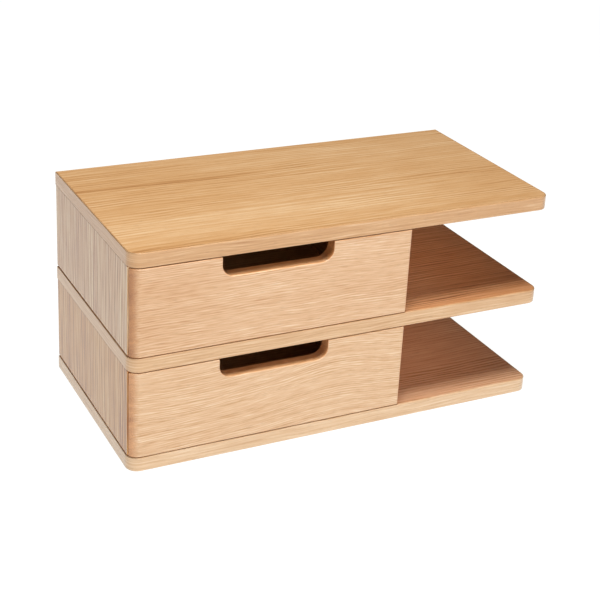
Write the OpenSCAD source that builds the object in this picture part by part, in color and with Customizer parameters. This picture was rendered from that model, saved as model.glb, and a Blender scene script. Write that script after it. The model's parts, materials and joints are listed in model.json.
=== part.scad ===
// Desk letter tray in oak: two drawers on the left, two open shelves on the right.
// Three flat boards are held apart by upright boards. A drawer front whose ends lap
// over the uprights closes each tier. Every joint is dowelled, and no fastener shows.
// Origin: centre of the footprint, on the surface that the tray stands on.
// +X runs to the right, +Y to the back and +Z up. The drawers open towards -Y.

/* [Tray] */
// Width of the tray, left to right
tray_w = 450; // [420:5:520]
// Depth of the tray, front to back
tray_d = 225; // [220:5:260]
// Clear height between two flat boards
tier_h = 90; // [84:0.5:110]
// Thickness of the flat boards, the upright boards and the drawer fronts
board_t = 14.5; // [13:0.5:18]
// Radius of the front corners, seen from above
corner_r = 12; // [8:1:14]
// Thickness of the edging strip round the left, front and right of a flat board
edging_t = 1.5; // [1:0.5:2]

/* [Upright boards] */
// How far the upright boards stand in from the edges that they follow
upright_inset = 0.4; // [0.2:0.2:2]
// Height of the shadow line along the foot of each left side board
reveal_h = 1.8; // [0.8:0.2:3]
// Depth of that shadow line
reveal_depth = 2.5; // [1:0.5:4]
// Thickness of the back panel of each drawer tier
back_t = 6; // [4:1:8]
// Depth of the grooves that the back panels stand in
back_groove = 5; // [3:1:6]
// Distance from the back of the tray to a back panel
back_inset = 6; // [3:1:12]

/* [Drawers] */
// Width of a drawer front, from the left end of the tray
front_w = 289; // [270:1:310]
// Gap above and below a drawer front
front_gap = 0.8; // [0.6:0.1:1.5]
// Radius of a drawer front's right-hand corner, seen from above
front_end_r = 2; // [1:0.5:3]
// Thickness of a drawer front's two ends, which lap over the upright boards
front_lip_t = 7; // [6:0.5:10]
// Length of a drawer's side walls, behind the front
drawer_len = 188; // [170:1:190]
// Height of a drawer's walls
drawer_wall_h = 66; // [40:1:67]
// Thickness of a drawer's walls
drawer_wall_t = 10; // [9:1:12]
// Thickness of a drawer's floor
floor_t = 4; // [3:0.5:5]
// Side clearance on each side of a drawer
side_clear = 0.7; // [0.5:0.1:1.5]
// Running clearance under a drawer's walls, and behind its front
run_clear = 0.5; // [0.4:0.1:0.8]

/* [Finger notch] */
// Width of the notch in a drawer front
notch_w = 114; // [90:1:140]
// Depth of the notch below the drawer front's top edge
notch_depth = 20; // [18:0.5:24]
// Radius of the notch's two lower corners
notch_r = 12; // [8:1:17]
// How far the notch sits to the right of the drawer front's middle
notch_shift = 2; // [-5:0.5:5]

/* [Dowels] */
// Diameter of every dowel
dowel_d = 6; // [5:1:7]
// Length of a dowel inside an upright board
dowel_in_upright = 15; // [12:1:25]
// Length of a dowel inside the top or the bottom board
dowel_in_board = 9; // [6:1:10]
// Distance from either end of an upright board to its outer dowels
dowel_end = 30; // [20:1:60]
// Length of a drawer dowel
drawer_dowel_len = 20; // [18:1:24]

/* [Hidden] */
$fn = 96;
tiny = 1;                                       // extra length of a cutter past a face

top_oak = "#DEB27F";
front_oak = "#EBC8A0";
side_oak = "#C8B4A0";
inner_oak = "#D8B68C";
dowel_wood = "#D9BE93";

// Heights of the flat boards' undersides, and of the floors of the two tiers
bottom_z = 0;
middle_z = board_t + tier_h;
top_z = 2 * (board_t + tier_h);
lower_tier_z = bottom_z + board_t;
upper_tier_z = middle_z + board_t;

// Upright boards: x of their left faces, y of their front edges
side_x = upright_inset;
divider_x = front_w - upright_inset - board_t;
upright_y = front_lip_t + run_clear;
upright_len = tray_d - upright_y;
upright_centres = [side_x + board_t / 2, divider_x + board_t / 2];
dowel_rows = [upright_y + dowel_end, upright_y + upright_len / 2, tray_d - dowel_end];
back_y = tray_d - back_inset - back_t;

// Drawer box, measured from the floor of its tier
drawer_x = side_x + board_t + side_clear;
drawer_w = divider_x - side_clear - drawer_x;
drawer_rear_y = board_t + drawer_len - drawer_wall_t;
front_h = tier_h - 2 * front_gap;
front_top = tier_h - front_gap;
floor_lift = 5;                                 // height of the floor above the walls' feet
floor_groove_z = run_clear + floor_lift;
floor_groove = 4;                               // depth of the floor's grooves
floor_slack = 0.5;                              // room for the floor to swell in each groove
drawer_dowel_heights = [22, 50];                // above the walls' feet
drawer_dowel_in_front = 8;
drawer_dowel_in_side = 6;

// ---- shared shapes ----

// Places children so that the tray's front left corner is the origin
module from_corner() {
    translate([-tray_w / 2, -tray_d / 2, 0]) children();
}

// A rectangle whose two front corners are rounded, even where it is thinner than a radius
module front_rounded(w, d, r_left, r_right) {
    intersection() {
        square([w, d]);
        union() {
            translate([r_left, 0]) square([w - r_left - r_right, d]);
            translate([0, r_left]) square([r_left, d]);
            translate([w - r_right, r_right]) square([r_right, d]);
            translate([r_left, r_left]) circle(r_left);
            translate([w - r_right, r_right]) circle(r_right);
        }
    }
}

// Plan of a flat board inside its edging; extra lengthens it past the back
module board_plan(extra = 0) {
    inner_r = corner_r - edging_t;
    translate([edging_t, edging_t])
        front_rounded(tray_w - 2 * edging_t, tray_d - edging_t + extra, inner_r, inner_r);
}

// ---- case ----

module dowel(length) {
    cylinder(d = dowel_d, h = length);
}

module at_case_dowels(z) {
    for (x = upright_centres, y = dowel_rows)
        translate([x, y, z]) children();
}

// Dowels between the upright boards and the top and bottom boards
module short_dowel_set() {
    length = dowel_in_board + dowel_in_upright;
    at_case_dowels(lower_tier_z - dowel_in_board) dowel(length);
    at_case_dowels(top_z - dowel_in_upright) dowel(length);
}

// Dowels that pass right through the middle board into the uprights above and below
module long_dowel_set() {
    at_case_dowels(middle_z - dowel_in_upright) dowel(board_t + 2 * dowel_in_upright);
}

module flat_board(z) {
    color(top_oak) from_corner() difference() {
        translate([0, 0, z]) linear_extrude(board_t) board_plan();
        short_dowel_set();
        long_dowel_set();
    }
}

module edging(z) {
    color(front_oak) from_corner() translate([0, 0, z]) linear_extrude(board_t) difference() {
        front_rounded(tray_w, tray_d, corner_r, corner_r);
        board_plan(tiny);
    }
}

// Upright board at x; groove_x is the left face of the groove for the back panel
module upright(x, z, groove_x) {
    difference() {
        translate([x, upright_y, z]) cube([board_t, upright_len, tier_h]);
        translate([groove_x, back_y, z - tiny]) cube([back_groove, back_t, tier_h + 2 * tiny]);
        short_dowel_set();
        long_dowel_set();
    }
}

module left_side(z) {
    color(side_oak) from_corner() difference() {
        upright(side_x, z, side_x + board_t - back_groove);
        translate([side_x - tiny, upright_y - tiny, z - tiny])
            cube([reveal_depth + tiny, upright_len + 2 * tiny, reveal_h + tiny]);
    }
}

module divider(z) {
    color(inner_oak) from_corner() upright(divider_x, z, divider_x);
}

module back_panel(z) {
    left = side_x + board_t - back_groove;
    color(inner_oak) from_corner() translate([left, back_y, z])
        cube([divider_x + back_groove - left, back_t, tier_h]);
}

module short_dowels() {
    color(dowel_wood) from_corner() short_dowel_set();
}

module long_dowels() {
    color(dowel_wood) from_corner() long_dowel_set();
}

// ---- drawers ----

// Places a drawer piece in the tier whose floor is at height z
module in_tier(z) {
    from_corner() translate([0, 0, z]) children();
}

// Floor of the drawer; grow widens it to the shape that its grooves leave free
module floor_block(grow) {
    reach = floor_groove - floor_slack + grow;
    x = drawer_x + drawer_wall_t - reach;
    y = board_t - reach;
    translate([x, y, floor_groove_z])
        cube([drawer_w - 2 * (drawer_wall_t - reach), drawer_rear_y + reach - y, floor_t]);
}

// Eight dowels: two at each corner of the drawer box
module drawer_dowel_set() {
    rear_y = drawer_rear_y + drawer_wall_t / 2;
    left_x = drawer_x + drawer_wall_t;
    right_x = drawer_x + drawer_w - drawer_wall_t;
    for (height = drawer_dowel_heights) {
        z = run_clear + height;
        for (x = [left_x - drawer_wall_t / 2, right_x + drawer_wall_t / 2])
            translate([x, board_t - drawer_dowel_in_front, z]) rotate([-90, 0, 0]) dowel(drawer_dowel_len);
        translate([left_x - drawer_dowel_in_side, rear_y, z]) rotate([0, 90, 0]) dowel(drawer_dowel_len);
        translate([right_x + drawer_dowel_in_side, rear_y, z]) rotate([0, -90, 0]) dowel(drawer_dowel_len);
    }
}

// Outline of the finger notch, with its top edge past the drawer front's top
module notch_outline() {
    x = (front_w - notch_w) / 2 + notch_shift;
    z = front_top - notch_depth;
    translate([x, z + notch_r]) square([notch_w, notch_depth - notch_r + tiny]);
    translate([x + notch_r, z]) square([notch_w - 2 * notch_r, notch_depth + tiny]);
    for (cx = [x + notch_r, x + notch_w - notch_r])
        translate([cx, z + notch_r]) circle(notch_r);
}

// Rebates behind a drawer front's ends, which make room for the upright boards
module end_rebates() {
    for (side = [[-tiny, drawer_x], [drawer_x + drawer_w, front_w + tiny]])
        translate([side[0], front_lip_t, -tiny])
            cube([side[1] - side[0], board_t, tier_h + 2 * tiny]);
}

module drawer_front(z) {
    color(front_oak) in_tier(z) difference() {
        translate([0, 0, front_gap]) linear_extrude(front_h)
            front_rounded(front_w, board_t, corner_r, front_end_r);
        end_rebates();
        translate([0, board_t + tiny, 0]) rotate([90, 0, 0])
            linear_extrude(board_t + 2 * tiny) notch_outline();
        floor_block(floor_slack);
        drawer_dowel_set();
    }
}

// Side wall of the drawer at x
module drawer_side(x, z) {
    color(inner_oak) in_tier(z) difference() {
        translate([x, board_t, run_clear]) cube([drawer_wall_t, drawer_len, drawer_wall_h]);
        floor_block(floor_slack);
        drawer_dowel_set();
    }
}

module drawer_left(z) {
    drawer_side(drawer_x, z);
}

module drawer_right(z) {
    drawer_side(drawer_x + drawer_w - drawer_wall_t, z);
}

module drawer_rear(z) {
    color(inner_oak) in_tier(z) difference() {
        translate([drawer_x + drawer_wall_t, drawer_rear_y, run_clear])
            cube([drawer_w - 2 * drawer_wall_t, drawer_wall_t, drawer_wall_h]);
        floor_block(floor_slack);
        drawer_dowel_set();
    }
}

module drawer_floor(z) {
    color(inner_oak) in_tier(z) floor_block(0);
}

module drawer_dowels(z) {
    color(dowel_wood) in_tier(z) drawer_dowel_set();
}

flat_board(top_z);  // top_board
edging(top_z);  // top_edging
flat_board(middle_z);  // middle_board
edging(middle_z);  // middle_edging
flat_board(bottom_z);  // bottom_board
edging(bottom_z);  // bottom_edging
left_side(upper_tier_z);  // upper_left_side
left_side(lower_tier_z);  // lower_left_side
divider(upper_tier_z);  // upper_divider
divider(lower_tier_z);  // lower_divider
back_panel(upper_tier_z);  // upper_back
back_panel(lower_tier_z);  // lower_back
short_dowels();
long_dowels();
drawer_front(upper_tier_z);  // upper_drawer_front
drawer_left(upper_tier_z);  // upper_drawer_left
drawer_right(upper_tier_z);  // upper_drawer_right
drawer_rear(upper_tier_z);  // upper_drawer_rear
drawer_floor(upper_tier_z);  // upper_drawer_floor
drawer_dowels(upper_tier_z);  // upper_drawer_dowels
drawer_front(lower_tier_z);  // lower_drawer_front
drawer_left(lower_tier_z);  // lower_drawer_left
drawer_right(lower_tier_z);  // lower_drawer_right
drawer_rear(lower_tier_z);  // lower_drawer_rear
drawer_floor(lower_tier_z);  // lower_drawer_floor
drawer_dowels(lower_tier_z);  // lower_drawer_dowels
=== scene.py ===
"""Oak letter tray with two drawers and two open shelves: its looks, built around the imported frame.

Lengths are metres, in the frame's own axes: +X right, +Y back, +Z up, origin under the middle.
"""

import json
import math
from dataclasses import dataclass

import bmesh
import bpy
from mathutils import Euler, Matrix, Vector

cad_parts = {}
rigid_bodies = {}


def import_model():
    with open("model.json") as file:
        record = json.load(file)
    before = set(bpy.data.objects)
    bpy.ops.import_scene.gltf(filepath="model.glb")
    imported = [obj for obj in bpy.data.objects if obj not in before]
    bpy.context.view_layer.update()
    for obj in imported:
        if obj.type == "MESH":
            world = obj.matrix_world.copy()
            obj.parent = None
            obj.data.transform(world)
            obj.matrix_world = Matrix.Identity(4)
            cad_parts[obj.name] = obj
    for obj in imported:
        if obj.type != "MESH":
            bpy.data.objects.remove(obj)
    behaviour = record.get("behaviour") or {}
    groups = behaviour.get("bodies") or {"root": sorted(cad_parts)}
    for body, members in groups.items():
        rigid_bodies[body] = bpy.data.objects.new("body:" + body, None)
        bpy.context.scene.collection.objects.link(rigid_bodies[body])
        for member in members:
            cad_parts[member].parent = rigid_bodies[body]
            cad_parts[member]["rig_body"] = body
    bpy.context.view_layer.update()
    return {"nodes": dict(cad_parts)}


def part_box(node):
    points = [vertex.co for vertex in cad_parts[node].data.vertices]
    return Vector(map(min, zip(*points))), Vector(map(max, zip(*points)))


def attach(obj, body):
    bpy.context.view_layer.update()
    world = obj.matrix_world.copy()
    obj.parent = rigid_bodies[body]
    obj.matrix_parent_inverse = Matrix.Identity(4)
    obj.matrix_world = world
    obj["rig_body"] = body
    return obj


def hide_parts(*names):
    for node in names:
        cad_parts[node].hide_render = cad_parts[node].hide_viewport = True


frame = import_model()

MM = 0.001
X, Y, Z = Vector((1, 0, 0)), Vector((0, 1, 0)), Vector((0, 0, 1))
NOISE_SPREAD = 1.7      # brings noise, which stays near its middle, to about the full depth


# ---- camera, floor and light ----


def make_camera():
    """The photograph's viewpoint: from the front left, a little above the tray."""
    data = bpy.data.cameras.new("camera")
    data.sensor_width = 36
    data.lens = 81.849
    data.shift_y = -0.13
    camera = bpy.data.objects.new("camera", data)
    camera.location = (-0.5936, -1.1533, 0.7050)
    camera.rotation_euler = Euler([math.radians(a) for a in (67.992, -2.810, -26.034)])
    bpy.context.scene.collection.objects.link(camera)
    bpy.context.scene.camera = camera


def make_softbox(name, place, aim, size, radiance, tint):
    """A flat rectangular light at place that faces aim; size is (width, height)."""
    data = bpy.data.lights.new(name, "AREA")
    data.shape = "RECTANGLE"
    data.size, data.size_y = size
    data.energy = radiance * math.pi * size[0] * size[1]
    data.color = tint
    light = bpy.data.objects.new(name, data)
    light.location = place
    light.rotation_euler = (Vector(aim) - Vector(place)).to_track_quat("-Z", "Y").to_euler()
    bpy.context.scene.collection.objects.link(light)


def light_the_studio():
    """One wide box overhead, one low box in front, and a dim room."""
    make_softbox("overhead", place=(-0.25, -0.405, 1.95), aim=(-0.25, -0.405, 0.0), size=(0.90, 0.60),
                 radiance=21.2, tint=(1.0, 0.97, 0.92))
    make_softbox("front", place=(-0.05, -2.2, 0.52), aim=(0.0, 0.0, 0.12), size=(2.4, 0.7),
                 radiance=3.75, tint=(1.0, 0.96, 0.93))
    world = bpy.data.worlds.new("room")
    world.use_nodes = True
    background = world.node_tree.nodes["Background"]
    background.inputs["Color"].default_value = (1.0, 0.97, 0.95, 1)
    background.inputs["Strength"].default_value = 0.05
    bpy.context.scene.world = world
    bpy.context.scene.view_settings.view_transform = "Standard"


def make_floor():
    """A pale sheet that glows a little, as a lit studio table does."""
    half = 30.0
    bm = bmesh.new()
    around = ((-half, -half), (half, -half), (half, half), (-half, half))
    bm.faces.new([bm.verts.new((x, y, 0)) for x, y in around])
    graph = Graph("studio_floor")
    shader = graph.add("ShaderNodeBsdfPrincipled", {
        "Base Color": (0.1, 0.1, 0.1, 1),
        "Roughness": 1.0,
        "Specular IOR Level": 0.0,
        "Emission Color": (1.0, 1.0, 0.99, 1),
        "Emission Strength": 1.0,
    })
    graph.finish(shader.outputs["BSDF"])
    object_from(bm, "floor", graph.material)


# ---- node graphs ----


class Graph:
    """A material's nodes, with short calls for the few kinds that the woods need."""

    def __init__(self, name):
        self.material = bpy.data.materials.new(name)
        self.material.use_nodes = True
        self.tree = self.material.node_tree
        self.tree.nodes.clear()

    def add(self, kind, inputs=None, **settings):
        """A node of that kind; inputs are values, or sockets to link."""
        made = self.tree.nodes.new(kind)
        for name, value in settings.items():
            setattr(made, name, value)
        for name, value in (inputs or {}).items():
            if isinstance(value, bpy.types.NodeSocket):
                self.tree.links.new(value, made.inputs[name])
            else:
                made.inputs[name].default_value = value
        return made

    def maths(self, operation, a, b=0.0, c=0.0):
        """One Math node's result."""
        return self.add("ShaderNodeMath", {0: a, 1: b, 2: c}, operation=operation).outputs[0]

    def combine(self, x, y, z):
        """A vector from three numbers."""
        return self.add("ShaderNodeCombineXYZ", {0: x, 1: y, 2: z}).outputs[0]

    def dot(self, vector, direction):
        """How far a vector reaches in a direction."""
        inputs = {0: vector, 1: direction}
        return self.add("ShaderNodeVectorMath", inputs, operation="DOT_PRODUCT").outputs["Value"]

    def facing(self, direction):
        """How far the surface looks in a direction: 1 straight along it, 0 square to it, -1 away from it."""
        return self.dot(self.add("ShaderNodeNewGeometry").outputs["Normal"], direction)

    def scaled(self, *parts):
        """A vector of (value, scale) pairs."""
        return self.combine(*[self.maths("MULTIPLY", value, scale) for value, scale in parts])

    def noise(self, vector, detail=2.0):
        """Noise from about 0.2 to 0.8 that changes once per unit of vector."""
        inputs = {"Vector": vector, "Scale": 1.0, "Detail": detail, "Roughness": 0.5}
        return self.add("ShaderNodeTexNoise", inputs).outputs[0]

    def fibre_noise(self, place, along_rate, across_rate, detail=2.0):
        """Noise at place, which is (along, level, aside), drawn out along the grain; rates are per metre."""
        along, level, aside = place
        vector = self.scaled((along, along_rate), (level, across_rate), (aside, across_rate))
        return self.noise(vector, detail)

    def step(self, value, low, high, out_low=0.0, out_high=1.0):
        """A smooth step of value, from out_low at low to out_high at high."""
        inputs = {"Value": value, 1: low, 2: high, 3: out_low, 4: out_high}
        return self.add("ShaderNodeMapRange", inputs, interpolation_type="SMOOTHSTEP").outputs[0]

    def mix(self, share, a, b, blend_type="MIX"):
        """Colour a turning into colour b as share rises from 0 to 1."""
        made = self.add("ShaderNodeMix", data_type="RGBA", blend_type=blend_type)
        for socket, value in ((made.inputs[0], share), (made.inputs[6], a), (made.inputs[7], b)):
            if isinstance(value, bpy.types.NodeSocket):
                self.tree.links.new(value, socket)
            else:
                socket.default_value = value
        return made.outputs[2]

    def finish(self, surface):
        """Links the surface to the material's output."""
        output = self.add("ShaderNodeOutputMaterial")
        self.tree.links.new(surface, output.inputs["Surface"])


def linear(hex_colour, gain=1.0):
    """Scene-linear RGBA of an sRGB screen colour such as "DEB27F", made gain times as bright."""

    def decoded(channel):
        return channel / 12.92 if channel < 0.04045 else ((channel + 0.055) / 1.055) ** 2.4

    channels = [int(hex_colour[i:i + 2], 16) / 255 for i in (0, 2, 4)]
    return (*[gain * decoded(channel) for channel in channels], 1.0)


# ---- woods ----


@dataclass
class Wood:
    """How one board's wood was cut, its colours from darkest to palest, and the light and shade painted on
    its arrises and ledges.
    """

    name: str
    grain: Vector                               # the way the fibres run
    layers: Vector                              # the way the growth rings stack up
    tones: tuple                                # four screen colours, darkest first
    stripes: tuple                              # patterns along the grain: length, width, depth of each
    seed: float = 0.0                           # moves the patterns along the grain
    lines: tuple = (5.5 * MM, 90 * MM, 0.42)    # fine wavy lines: distance, length and depth
    rings: tuple = (7 * MM, 0.03)               # growth rings: mean distance and depth
    sway: tuple = (0.18, 3 * MM)                # how the grain wanders: over what length, how far
    hump: tuple = (0.0, 0.0, 1.0)               # a rise of the grain: height, place and half width
    streaks: tuple = ()                         # place across, half width, start, end and depth of each
    end_tones: tuple = ("965D36", "D2945C")     # colours of the cut fibre ends
    has_ends: bool = True                       # False for a strip whose fibres follow the corners
    # Painted light on the arris roundings: a painted highlight where the gain is above 1, painted shade where
    # it is below 1
    arris_painted_light: float = 1.0                     # gain of the roundings between level and upright faces
    arris_facing: Vector = Y                    # which way those upright faces look
    # Painted warm bounce light on the ledges: a red, green and blue gain
    ledge_painted_light: tuple = (1.0, 1.0, 1.0)         # red, green and blue gain of ledges, which look upwards
    ledge_limit: float = 1.0                    # the height that those ledges lie below


# How often the finest patterns change, per metre
FIBRE_RATES = (35, 1100)        # along the grain and across it
PORE_RATES = (130, 2600)        # along the grain and across it
END_DOT_RATE = 1100             # pores in cut fibre ends
END_ARC_RATES = (160, 30)       # rings in cut fibre ends: across the rings and along them

PORE_SHADE = 0.25               # how far a pore turns to the dark colour
PORE_SINK = 0.7                 # how deep a pore is, where the fibres' relief is 1

# Depths, here and in Wood, are shares of the way from the darkest tone to the palest
CLOUD_SIZE = 30 * MM
CLOUD_DEPTH = 0.06

# Stripes along the grain: length, width and depth of each set, from broad to fine
STRAIGHT = (
    (2.00, 40 * MM, 0.06),
    (1.60, 16 * MM, 0.08),
    (0.45, 7 * MM, 0.21),
    (0.12, 3 * MM, 0.26),
    (0.03, 1.2 * MM, 0.40),
)
UPRIGHT = (
    (0.60, 40 * MM, 0.20),
    (0.50, 16 * MM, 0.28),
    (0.25, 7 * MM, 0.40),
    (0.07, 3 * MM, 0.60),
    (0.04, 1.2 * MM, 0.80),
)
NARROW = (
    (0.90, 12 * MM, 0.20),
    (0.12, 5 * MM, 0.30),
    (0.05, 2.2 * MM, 0.45),
    (0.03, 1.0 * MM, 0.50),
)
FINE = (
    (0.40, 16 * MM, 0.08),
    (0.40, 7 * MM, 0.14),
    (0.12, 3.2 * MM, 0.16),
    (0.018, 1.2 * MM, 0.60),
)


def make_wood(wood):
    """The procedural material of one board, in the board's own coordinates."""
    graph = Graph(wood.name)
    spot = graph.add("ShaderNodeTexCoord").outputs["Object"]
    reach = graph.dot(spot, wood.grain)
    aside = graph.dot(spot, wood.grain.cross(wood.layers)) if wood.has_ends else 0.0
    straight = (graph.maths("ADD", reach, wood.seed), graph.dot(spot, wood.layers), aside)
    place = swayed(graph, wood, reach, straight)

    rings = ring_lines(graph, place, wood.rings[0])
    pores = pore_marks(graph, place, rings)
    ramp = graph.add("ShaderNodeValToRGB", {"Fac": grain_tone(graph, wood, reach, place, rings)})
    paint_ramp(ramp.color_ramp, (0.0, 0.35, 0.65, 1.0), wood.tones)
    dark = linear(wood.tones[0], 0.5)
    colour = graph.mix(graph.maths("MULTIPLY", pores, PORE_SHADE), ramp.outputs["Color"], dark)
    if wood.has_ends:
        colour = graph.mix(end_grain_share(graph, wood), colour, end_grain_colour(graph, wood, place))
    # Painted highlight or painted shade on the arris roundings, by the board's arris gain
    colour = tinted(graph, colour, arris_share(graph, wood), [wood.arris_painted_light] * 3)
    # Painted warm bounce light on the notch ledges, by the ledge gain
    colour = tinted(graph, colour, ledge_share(graph, graph.dot(spot, Z), wood.ledge_limit), wood.ledge_painted_light)
    fibres = graph.fibre_noise(place, *FIBRE_RATES)
    height = graph.maths("MULTIPLY_ADD", pores, -PORE_SINK, fibres)
    bump = graph.add("ShaderNodeBump", {"Strength": 0.22, "Distance": 0.25 * MM, "Height": height})
    roughness = graph.step(fibres, 0.3, 0.7, 0.42, 0.34)
    shader = graph.add("ShaderNodeBsdfPrincipled", {
        "Base Color": colour,
        "Roughness": roughness,
        "IOR": 1.5,
        "Coat Weight": 0.48,
        "Coat Roughness": 0.25,
        "Normal": bump.outputs["Normal"],
    })
    graph.finish(shader.outputs["BSDF"])
    return graph.material


def grain_tone(graph, wood, reach, place, rings):
    """The tone of the grain, from 0 for the darkest to 1 for the palest."""
    along, level, _ = place
    tone = 0.5
    for length, width, depth in wood.stripes:
        stripes = graph.fibre_noise(place, 1 / length, 1 / width, detail=1)
        tone = add_pattern(graph, tone, stripes, NOISE_SPREAD * depth)
    pitch, length, depth = wood.lines
    tone = graph.maths("MULTIPLY_ADD", fine_lines(graph, place, pitch, length), depth / 2, tone)
    tone = add_pattern(graph, tone, rings, wood.rings[1])
    clouds = graph.noise(graph.scaled((along, 0.5 / CLOUD_SIZE), (level, 1 / CLOUD_SIZE), (along, 0.0)))
    tone = add_pattern(graph, tone, clouds, NOISE_SPREAD * CLOUD_DEPTH)
    for streak in wood.streaks:
        tone = graph.maths("SUBTRACT", tone, dark_streak(graph, reach, level, *streak))
    return tone


def tinted(graph, colour, share, gains):
    """colour, multiplied by the red, green and blue gains where share is 1."""
    return graph.mix(share, colour, graph.mix(1.0, colour, (*gains, 1.0), "MULTIPLY"))


def add_pattern(graph, tone, pattern, depth):
    """tone, raised or lowered as the pattern rises above or falls below a half."""
    centred = graph.maths("SUBTRACT", pattern, 0.5)
    return graph.maths("MULTIPLY_ADD", centred, depth, tone)


def bell(graph, value, centre, half_width):
    """1 at centre, falling to a half at half_width from it."""
    distance = graph.maths("DIVIDE", graph.maths("SUBTRACT", value, centre), half_width)
    return graph.maths("DIVIDE", 1.0, graph.maths("MULTIPLY_ADD", distance, distance, 1.0))


def swayed(graph, wood, reach, place):
    """The place, shifted across the grain, so that its lines wander and rise over a hump."""
    along, straight, aside = place
    length, distance = wood.sway
    wander = graph.fibre_noise(place, 1 / length, 3 / length, detail=1)
    shift = graph.maths("MULTIPLY_ADD", wander, 4 * distance, -2 * distance)
    height, centre, half_width = wood.hump
    if height:
        shift = graph.maths("MULTIPLY_ADD", bell(graph, reach, centre, half_width), -height, shift)
    return along, graph.maths("ADD", straight, shift), aside


def dark_streak(graph, reach, level, centre, half_width, start, end, depth):
    """A soft dark stripe along the grain that fades out from start to end."""
    stripe = graph.maths("MULTIPLY", bell(graph, level, centre, half_width), depth)
    return graph.maths("MULTIPLY", stripe, graph.step(reach, start, end, 1.0, 0.0))


def fine_lines(graph, place, pitch, length):
    """Waves from -1 to 1 across the grain, about pitch apart, that bend, fade and return along it."""
    along, level, _ = place
    bend = graph.fibre_noise(place, 1 / length, 0.3 / pitch, detail=1)
    turns = graph.maths("MULTIPLY_ADD", bend, 1.6, graph.maths("DIVIDE", level, pitch))
    wave = graph.maths("SINE", graph.maths("MULTIPLY", turns, 2 * math.pi))
    patches = graph.noise(graph.scaled((along, 0.4 / length), (level, 0.17 / pitch), (along, 0.0)), detail=1)
    return graph.maths("MULTIPLY", wave, graph.step(patches, 0.3, 0.7, 0.2, 1.0))


def ring_lines(graph, place, pitch):
    """1 in the pale late wood, falling sharply to 0 where the next ring starts."""
    along, level, _ = place
    uneven = graph.noise(graph.scaled((along, 1.5), (level, 0.35 / pitch), (along, 0.0)))
    turns = graph.maths("MULTIPLY_ADD", uneven, 2.5, graph.maths("DIVIDE", level, pitch))
    phase = graph.maths("FRACT", turns)
    return graph.maths("MULTIPLY", graph.step(phase, 0.0, 0.7), graph.step(phase, 1.0, 0.88))


def pore_marks(graph, place, rings):
    """Short dark dashes along the grain, most of them in the early wood."""
    dashes = graph.fibre_noise(place, *PORE_RATES, detail=1)
    marks = graph.step(dashes, 0.56, 0.68)
    early = graph.step(rings, 0.9, 0.1, 0.35, 1.0)
    return graph.maths("MULTIPLY", marks, early)


def end_grain_share(graph, wood):
    """1 where the surface cuts straight across the fibres, and 0 where it runs with them."""
    return graph.step(graph.maths("ABSOLUTE", graph.facing(wood.grain)), 0.15, 0.85)


def arris_share(graph, wood):
    """1 on the rounding between a level face and an upright one, and 0 on both faces: where the arris's
    painted highlight or painted shade goes.
    """

    def tilt(direction):
        return graph.step(graph.maths("ABSOLUTE", graph.facing(direction)), 0.15, 0.5)

    return graph.maths("MULTIPLY", tilt(Z), tilt(wood.arris_facing))


def ledge_share(graph, height, limit):
    """1 on faces that look straight up from below the limit, and 0 on all others: where the painted warm
    bounce light goes.
    """
    level = graph.step(graph.facing(Z), 0.9, 0.99)
    return graph.maths("MULTIPLY", level, graph.maths("LESS_THAN", height, limit))


def end_grain_colour(graph, wood, place):
    """Cut fibre ends: darker and redder, with soft rings and pores as dots."""
    _, level, aside = place
    dots = graph.noise(graph.scaled((level, END_DOT_RATE), (aside, END_DOT_RATE), (level, 0.0)))
    arcs = graph.noise(graph.scaled((level, END_ARC_RATES[0]), (aside, END_ARC_RATES[1]), (level, 0.0)))
    tone = graph.maths("MULTIPLY_ADD", arcs, 0.5, graph.maths("MULTIPLY", dots, 0.5))
    ramp = graph.add("ShaderNodeValToRGB", {"Fac": tone})
    paint_ramp(ramp.color_ramp, (0.30, 0.70), wood.end_tones)
    return ramp.outputs["Color"]


def paint_ramp(ramp, positions, tones):
    """Sets a colour ramp to these tones at these positions."""
    while len(ramp.elements) < len(tones):
        ramp.elements.new(0.5)
    for element, position, tone in zip(ramp.elements, positions, tones):
        element.position = position
        element.color = linear(tone)


# ---- meshes ----


TOUCH = 0.02 * MM       # a point this near a plane lies on it

# Widths of the rounded arrises
CORE_EASE = 0.6 * MM
SEAM_EASE = 0.12 * MM
STRIP_EASE = 0.9 * MM
UPRIGHT_EASE = 0.5 * MM
FRONT_EASE = 1.0 * MM
WALL_EASE = 0.8 * MM
PLY_EASE = 0.2 * MM


def object_from(bm, name, material):
    """A linked object made from a bmesh, which is then freed."""
    mesh = bpy.data.meshes.new(name)
    bm.to_mesh(mesh)
    bm.free()
    mesh.materials.append(material)
    made = bpy.data.objects.new(name, mesh)
    bpy.context.scene.collection.objects.link(made)
    return made


def planes_at(point, box):
    """How many of a box's six planes a point lies on."""
    return sum(abs(point[i] - corner[i]) < TOUCH for corner in box for i in range(3))


def only_wall(edge, direction):
    """The one face at an edge that stands along a direction, or None if both or neither do."""
    walls = [f for f in edge.link_faces if abs(f.normal.dot(direction)) < 0.5]
    return walls[0] if len(walls) == 1 else None


def clean_copy(node):
    """A bmesh of a CAD node with shared corners and whole flat faces."""
    bm = bmesh.new()
    bm.from_mesh(frame["nodes"][node].data)
    bmesh.ops.remove_doubles(bm, verts=bm.verts, dist=0.001 * MM)
    bmesh.ops.dissolve_limit(bm, angle_limit=math.radians(0.5), verts=bm.verts, edges=bm.edges)
    return bm


def ease(bm, width, chosen):
    """Rounds the sharp outward edges that chosen(midpoint, edge) picks."""
    sharp = math.radians(40)
    picked = [e for e in bm.edges if e.is_manifold and e.calc_face_angle_signed() > sharp]
    picked = [e for e in picked if chosen((e.verts[0].co + e.verts[1].co) / 2, e)]
    bmesh.ops.bevel(bm, geom=picked, offset=width, offset_type="OFFSET", segments=3, profile=0.5,
                    affect="EDGES", clamp_overlap=False)


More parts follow.
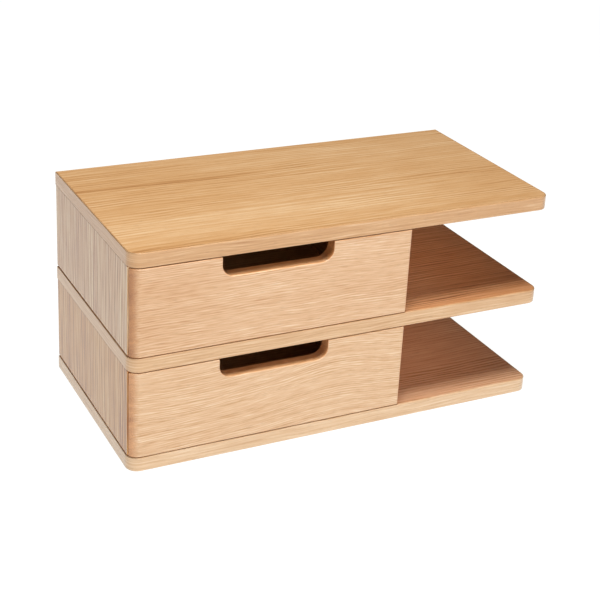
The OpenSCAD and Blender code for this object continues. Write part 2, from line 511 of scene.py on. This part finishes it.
def finish_piece(bm, node, material):
    """Turns a bmesh into the piece that stands for a CAD node, and rides on its body."""
    piece = object_from(bm, "oak_" + node, material)
    piece.data.shade_smooth()
    piece.data.set_sharp_from_angle(angle=math.radians(38))
    normals = piece.modifiers.new("flat_faces", "WEIGHTED_NORMAL")
    normals.weight = 100
    normals.keep_sharp = True
    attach(piece, frame["nodes"][node]["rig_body"])
    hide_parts(node)
    return piece


def make_block(node, material, width):
    """A board or panel whose outer edges are eased by width."""
    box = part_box(node)
    bm = clean_copy(node)
    ease(bm, width, lambda point, edge: planes_at(point, box) > 1)
    finish_piece(bm, node, material)


def make_core(node, material):
    """A flat board inside its edging: only its bare back edge is eased."""
    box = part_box(node)

    def bare(point, edge):
        return box[1].y - point.y < TOUCH and planes_at(point, box) > 1

    bm = clean_copy(node)
    ease(bm, CORE_EASE, bare)
    finish_piece(bm, node, material)


def make_edging(node, material):
    """The strip round a flat board, rounded outside and just broken at the seam."""
    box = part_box(node)
    middle = (box[0] + box[1]) / 2
    shortest = 0.3 * MM                         # leaves out the small edges that the seam's rounding makes

    def outward(point, edge):
        wall = only_wall(edge, Z)
        return wall is not None and wall.normal.dot(point - middle) > 0

    def outside(point, edge):
        return edge.calc_length() > shortest and outward(point, edge)

    def seam(point, edge):
        inward = only_wall(edge, Z) is not None and not outward(point, edge)
        return inward and box[1].y - point.y > TOUCH

    bm = clean_copy(node)
    ease(bm, SEAM_EASE, seam)
    ease(bm, STRIP_EASE, outside)
    finish_piece(bm, node, material)


def make_front(node, material):
    """A drawer front: all its edges are eased but those of the cuts in its back."""
    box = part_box(node)
    low, high = box
    notch_reach = 21 * MM                       # just past the bottom of the notch
    end_margin = 10 * MM                        # leaves the front's two ends out

    def notch(point, edge):
        between = low.x + end_margin < point.x < high.x - end_margin
        in_notch = high.z - notch_reach < point.z < high.z - TOUCH
        return between and in_notch and only_wall(edge, Y) is not None

    def outline(point, edge):
        behind = high.y - point.y < TOUCH
        return planes_at(point, box) > 1 or not behind

    bm = clean_copy(node)
    ease(bm, FRONT_EASE, lambda point, edge: notch(point, edge) or outline(point, edge))
    finish_piece(bm, node, material)


# ---- the tray ----


def make_case():
    """Three edged flat boards, two left sides, two dividers and two back panels."""
    board_tones = {
        "top": ("B67C48", "DDAA72", "EBBE8B", "FDDCB1"),
        # The middle and bottom boards are redder and deeper than the top: partly the wood, partly painted
        # warm shade of the open bays
        "middle": ("91552D", "D1925E", "E6AB7B", "F9C797"),
        "bottom": ("9C663F", "D6A076", "E8B993", "F8D5B1"),
    }
    strip_tones = {
        "top": ("B98756", "CB9B6A", "D4A778", "E6C095"),
        "middle": ("BF8E5E", "D5AA7D", "DFB88D", "F0D0AA"),
        # The bottom strip is paler than the others: painted light, the glare of the table below
        "bottom": ("C89B70", "DFB98F", "E9C8A2", "F6DCBE"),
    }
    side_tones = {
        "upper": ("9F5F2F", "C3915F", "D4A979", "E7CBA2"),
        # The lower sides are warmer and deeper than the upper: partly the wood, partly painted shade that
        # takes back the floor's glow reflected in them
        "lower": ("9F5918", "C28741", "D29B57", "E2BA7E"),
    }
    # Streaks darken the wood, or brighten it where their depth is negative
    top_streaks = (
        (46 * MM, 4 * MM, -0.14, 0.10, 0.30),
        (-107 * MM, 5 * MM, -0.20, -0.02, 0.30),
        (-60 * MM, 22 * MM, 0.02, 0.20, -0.22),
        (-26 * MM, 26 * MM, 0.20, 0.08, 0.10),
        (75 * MM, 30 * MM, -0.02, -0.14, -0.10),
        (0.0, 45 * MM, -0.12, 0.02, 0.05),
    )
    pale_shelf = (-10 * MM, 60 * MM, 0.10, 0.0, -0.15)
    shelf_lines = (4.5 * MM, 80 * MM, 0.60)
    upright_lines = (6.5 * MM, 80 * MM, 0.60)
    figures = {
        "top": {"streaks": top_streaks},
        "middle": {"lines": shelf_lines},
        "bottom": {"lines": shelf_lines, "streaks": (pale_shelf,)},
    }
    for index, level in enumerate(("top", "middle", "bottom")):
        core = Wood(level + "_board_oak", X, Y, board_tones[level], STRAIGHT, seed=0.7 * index,
                    rings=(6 * MM, 0.08), **figures[level])
        # The strips' arris gain below 1 paints shade along their rounded outer edges
        strip = Wood(level + "_edging_oak", X + Y, Z, strip_tones[level], NARROW, seed=0.4 + index,
                     sway=(0.10, 1.5 * MM), lines=(3.2 * MM, 60 * MM, 0.35), has_ends=False,
                     arris_painted_light=0.55, arris_facing=X)
        make_core(level + "_board", make_wood(core))
        make_edging(level + "_edging", make_wood(strip))
    for index, tier in enumerate(("upper", "lower")):
        side = Wood(tier + "_side_oak", Z, Y, side_tones[tier], UPRIGHT, seed=2.1 + index,
                    lines=upright_lines)
        divider = Wood(tier + "_divider_oak", Z, Y, side_tones[tier], UPRIGHT, seed=3.3 + index,
                       lines=upright_lines)
        back = Wood(tier + "_back_ply", X, Z, side_tones[tier], STRAIGHT, seed=4.1 + index)
        make_block(tier + "_left_side", make_wood(side), UPRIGHT_EASE)
        make_block(tier + "_divider", make_wood(divider), UPRIGHT_EASE)
        make_block(tier + "_back", make_wood(back), PLY_EASE)


def make_drawers():
    """Two drawers: a solid oak front, three thinner walls and a floor."""
    front_tones = {
        "upper": ("C6905F", "DAAD82", "E4BC94", "F2D5B4"),
        "lower": ("C89560", "DCB186", "E6C098", "F4D9B8"),
    }
    box_tones = ("B58A5E", "D2A87A", "DFBA8E", "EBCCA6")
    # Painted shade: the upper front darkens towards its rounded left end
    painted_shade_left = (118 * MM, 60 * MM, -0.20, -0.10, 0.16)
    # The fronts' arris gains above 1 paint a highlight along their rounded edges, brightest on the upper
    # front's top edge
    figures = {
        "upper": {"hump": (3 * MM, -0.06, 0.09), "arris_painted_light": 1.25, "streaks": (painted_shade_left,)},
        "lower": {"hump": (14 * MM, -0.01, 0.07), "arris_painted_light": 1.1, "rings": (11 * MM, 0.12),
                  "end_tones": ("AC7145", "F0B27A")},
    }
    leaning = (Z + 0.35 * Y).normalized()       # the fronts' growth rings lean back a little
    ledge_drop = 5 * MM                         # the notch's ledge is further below the front's top than this
    for index, tier in enumerate(("upper", "lower")):
        drawer = tier + "_drawer_"
        ledge_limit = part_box(drawer + "front")[1].z - ledge_drop
        # The notch ledge's gain paints warm bounce light on it: redder, less blue
        front = Wood(drawer + "front_oak", X, leaning, front_tones[tier], FINE, seed=5.2 + index,
                     lines=(2.3 * MM, 45 * MM, 0.45), ledge_painted_light=(1.17, 1.02, 0.86), ledge_limit=ledge_limit,
                     **figures[tier])
        wall = Wood(drawer + "wall_oak", Y, Z, box_tones, STRAIGHT, seed=6.4 + index)
        rear = Wood(drawer + "rear_oak", X, Z, box_tones, STRAIGHT, seed=7.1 + index)
        floor = Wood(drawer + "floor_ply", X, Y, box_tones, STRAIGHT, seed=8.3 + index)
        make_front(drawer + "front", make_wood(front))
        wall_material = make_wood(wall)
        make_block(drawer + "left", wall_material, WALL_EASE)
        make_block(drawer + "right", wall_material, WALL_EASE)
        make_block(drawer + "rear", make_wood(rear), WALL_EASE)
        make_block(drawer + "floor", make_wood(floor), PLY_EASE)


def finish_dowels():
    """The hidden dowels keep their CAD shape, in beech."""
    beech = make_wood(Wood("dowel_beech", Z, Y, ("A88560", "C9A67C", "D6B68E", "E2C6A2"), FINE))
    for name in frame["nodes"]:
        if name.endswith("dowels"):
            materials = frame["nodes"][name].data.materials
            materials.clear()
            materials.append(beech)


make_camera()
light_the_studio()
make_floor()
make_case()
make_drawers()
finish_dowels()
